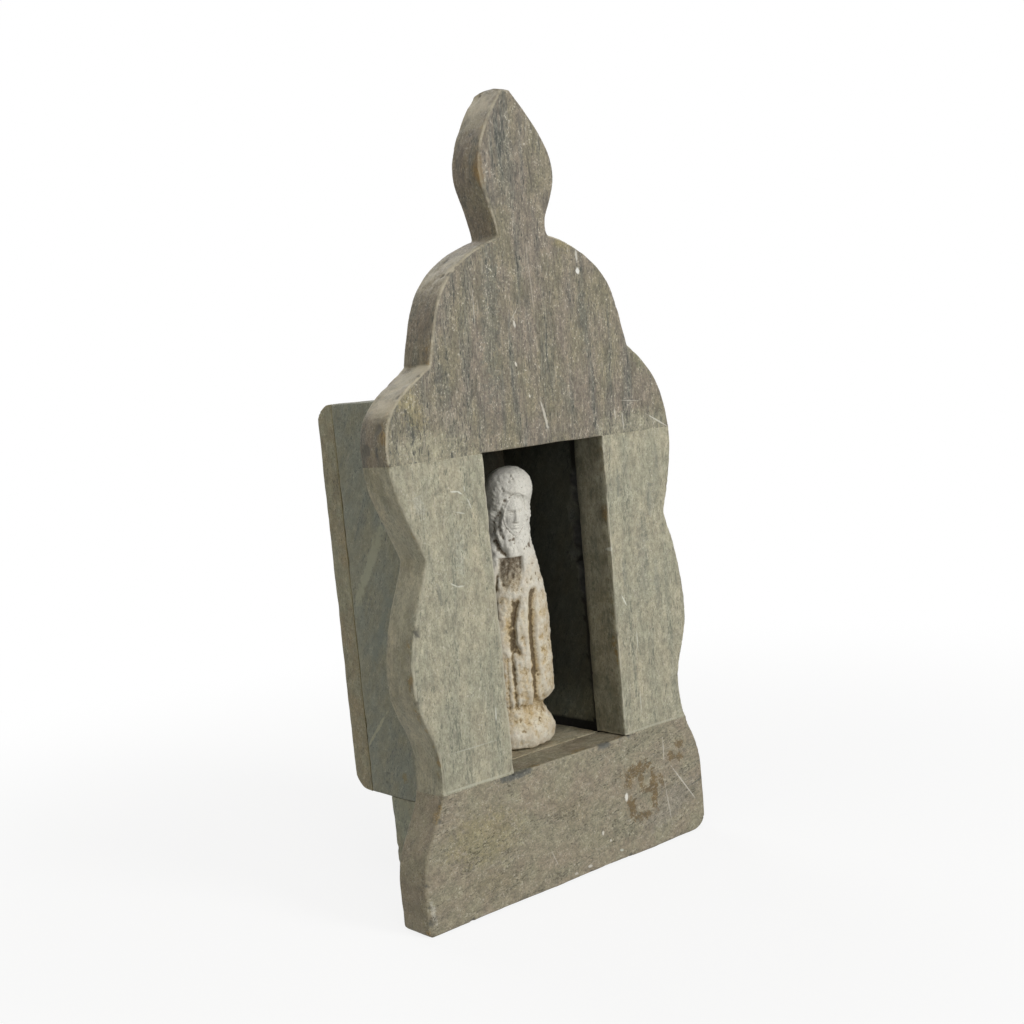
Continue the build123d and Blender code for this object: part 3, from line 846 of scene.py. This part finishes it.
# Size in mm, detail and roughness of the patches, chalk grains, brown specks and rust
noise = {}
for pattern, size_mm, detail, roughness in (("patches", 12, 5, 0.6), ("grains", 0.9, 4, 0.7),
                                            ("specks", 1.1, 5, 0.74), ("rust", 5.5, 5, 0.7)):
    noise[pattern] = add(tree, "ShaderNodeTexNoise", {
        "Vector": here, "Scale": 1 / (size_mm * MM), "Detail": detail,
        "Roughness": roughness}).outputs[0]
hollow_dirt_and_shade = add(tree, "ShaderNodeAttribute", attribute_name="dirt_and_shade").outputs["Fac"]
worn_ridges = add(tree, "ShaderNodeAttribute", attribute_name="worn_pale").outputs["Fac"]
# Brown specks joined with the hollows' dark, which is partly dirt and partly painted shade
stain_and_shade_edge = add(tree, "ShaderNodeMath", {0: noise["specks"], 1: 1.5, 2: hollow_dirt_and_shade},
                 operation="MULTIPLY_ADD").outputs[0]

# Between which two levels each effect comes up, and from what strength to what
mask = {}
for effect, pattern, start, full, weakest, strongest in (
        ("low_down", upright, (sill + 92) * MM, (sill + 60) * MM, 0, 1),
        ("yellow", noise["patches"], 0.34, 0.6, 0.35, 1),
        ("grains", noise["grains"], 0.3, 0.7, 0.86, 1.1),
        ("specks", noise["specks"], 0.5, 0.66, 0, 0.62),
        ("rust", noise["rust"], 0.41, 0.66, 0, 0.72),
        ("pinholes", noise["grains"], 0.4, 0.3, 0, 0.55),
        ("ochre", stain_and_shade_edge, 0.84, 1.3, 0, 0.75),
        ("dirt_and_shade", stain_and_shade_edge, 1.1, 1.75, 0, 0.9)):
    mask[effect] = add(tree, "ShaderNodeMapRange", {
        "Value": pattern, "From Min": start, "From Max": full, "To Min": weakest,
        "To Max": strongest}).outputs[0]
mask["mostly_low"] = add(tree, "ShaderNodeMapRange", {
    "Value": mask["low_down"], "To Min": 0.22}).outputs[0]
for effect, first, second in (("yellow", "low_down", "yellow"), ("specks", "specks", "yellow"),
                              ("rust", "rust", "low_down"), ("ochre", "ochre", "mostly_low")):
    mask[effect] = add(tree, "ShaderNodeMath", {0: mask[first], 1: mask[second]},
                       operation="MULTIPLY").outputs[0]
rubbed_share = add(tree, "ShaderNodeMath", {0: worn_ridges, 1: 0.45},
                   operation="MULTIPLY")
ground = tinted(tree, linear("#eae7dc"), (mask["yellow"], "#ddd0b2"))
ground = add(tree, "ShaderNodeHueSaturation", {"Color": ground, "Value": mask["grains"]})
ground = tinted(tree, ground.outputs[0], (mask["rust"], "#b7985f"), (mask["specks"], "#94743f"),
                (mask["pinholes"], "#7a6849"), (mask["ochre"], "#a48c5d"),
                (mask["dirt_and_shade"], "#5a4b35"), (rubbed_share.outputs[0], "#e3dfd2"))
chalk = add(tree, "ShaderNodeBump", {"Height": noise["grains"], "Strength": 0.6,
                                     "Distance": 0.0006})
surface = add(tree, "ShaderNodeBsdfPrincipled", {
    "Base Color": ground, "IOR": 1.5, "Roughness": 0.78, "Normal": chalk.outputs[0]})
add(tree, "ShaderNodeOutputMaterial", {"Surface": surface.outputs[0]})
figure_mesh.materials.append(cream)
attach(carved_figure, "root")
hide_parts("carved_figure")

# Floor, lights and camera
# A pale floor that reads as white paper and keeps the stone's shadow, five soft windows round
# the object, and the photograph's viewing angle.
def seen_or_mirrored(tree):
    """1 for what the camera sees straight or in a reflection, 0 for light on the object."""
    ray = add(tree, "ShaderNodeLightPath")
    return add(tree, "ShaderNodeMath", {0: ray.outputs["Is Camera Ray"],
                                        1: ray.outputs["Is Glossy Ray"]},
               operation="MAXIMUM").outputs[0]


floor_form = bmesh.new()
bmesh.ops.create_grid(floor_form, x_segments=1, y_segments=1, size=3.0)
floor_mesh = bpy.data.meshes.new("studio_floor")
floor_form.to_mesh(floor_mesh)
floor_form.free()
studio_floor = bpy.data.objects.new("studio_floor", floor_mesh)
collection.objects.link(studio_floor)
paper = bpy.data.materials.new("white_paper")
paper.use_nodes = True
tree = paper.node_tree
tree.nodes.clear()
seen = seen_or_mirrored(tree)
paper_tone = add(tree, "ShaderNodeMix", {0: seen, 6: linear("#b5b5b3"), 7: linear("#f6f6f4")},
                 data_type="RGBA")
lit = add(tree, "ShaderNodeBsdfDiffuse", {"Color": paper_tone.outputs[2]})
glow = add(tree, "ShaderNodeEmission", {"Color": linear("#ffffff"), "Strength": 1.0})
paper_place = add(tree, "ShaderNodeTexCoord").outputs["Object"]
from_middle = add(tree, "ShaderNodeVectorMath", {0: paper_place}, operation="LENGTH")
far = add(tree, "ShaderNodeMapRange", {
    "Value": from_middle.outputs["Value"], "From Min": 0.15, "From Max": 0.6, "To Min": 0.84,
    "To Max": 1.0}, interpolation_type="SMOOTHSTEP")
glow_share = add(tree, "ShaderNodeMath", {0: seen, 1: far.outputs[0]}, operation="MULTIPLY")
sheet = add(tree, "ShaderNodeMixShader", {0: glow_share.outputs[0], 1: lit.outputs[0],
                                          2: glow.outputs[0]})
add(tree, "ShaderNodeOutputMaterial", {"Surface": sheet.outputs[0]})
floor_mesh.materials.append(paper)

world = bpy.data.worlds.new("studio")
bpy.context.scene.world = world
world.use_nodes = True
tree = world.node_tree
tree.nodes.clear()
room = add(tree, "ShaderNodeBackground", {"Color": linear("#ffffff"), "Strength": 0.17})
white = add(tree, "ShaderNodeBackground", {"Color": linear("#ffffff"), "Strength": 1.0})
around = add(tree, "ShaderNodeMixShader", {0: seen_or_mirrored(tree), 1: room.outputs[0],
                                           2: white.outputs[0]})
add(tree, "ShaderNodeOutputWorld", {"Surface": around.outputs[0]})

middle = (cad_low + cad_high) / 2


def lamp(name, azimuth, elevation, distance, size, watts, tint):
    light = bpy.data.lights.new(name, "AREA")
    light.shape = "DISK"
    light.size = size
    light.energy = watts
    light.color = linear(tint)[:3]
    turn = math.radians(azimuth)
    rise = math.radians(elevation)
    way = Vector((math.sin(turn) * math.cos(rise), -math.cos(turn) * math.cos(rise),
                  math.sin(rise)))
    holder = bpy.data.objects.new(name, light)
    holder.location = middle + way * distance
    holder.rotation_euler = way.to_track_quat("Z", "Y").to_euler()
    collection.objects.link(holder)


lamp("front_right_window", 10, 19, 1.7, 0.5, 15.2, "#ffffff")
lamp("front_left_window", -22, 8, 1.7, 0.6, 3.2, "#ffffff")
lamp("overhead_window", -30, 66, 1.6, 0.9, 4.5, "#ffffff")
lamp("left_window", -98, 20, 1.5, 0.8, 2.6, "#fff3dc")
lamp("rear_window", 165, 35, 1.7, 0.9, 7.0, "#ffffff")

# The camera stands low in front, to the left of the slab's axis, and tilted as it was held
aim = Vector((-0.0193, -0.0440, 0.1653))
camera_azimuth = math.radians(-41.09)
camera_elevation = math.radians(5.59)
camera_roll = math.radians(-5.5726)
camera_distance = 0.6387
camera_data = bpy.data.cameras.new("camera")
camera_data.sensor_width = 36.0
camera_data.lens = 53.33
camera_data.clip_start = 0.01
camera = bpy.data.objects.new("camera", camera_data)
collection.objects.link(camera)
away = Vector((math.sin(camera_azimuth) * math.cos(camera_elevation),
               -math.cos(camera_azimuth) * math.cos(camera_elevation),
               math.sin(camera_elevation)))
level_right = (-away).cross(Vector((0, 0, 1))).normalized()
level_up = level_right.cross(-away)
camera_right = level_right * math.cos(camera_roll) + level_up * math.sin(camera_roll)
camera_up = level_up * math.cos(camera_roll) - level_right * math.sin(camera_roll)
stand = Matrix((camera_right, camera_up, away)).transposed().to_4x4()
stand.translation = aim + away * camera_distance
camera.matrix_world = stand
bpy.context.scene.camera = camera
bpy.context.scene.view_settings.view_transform = "Standard"
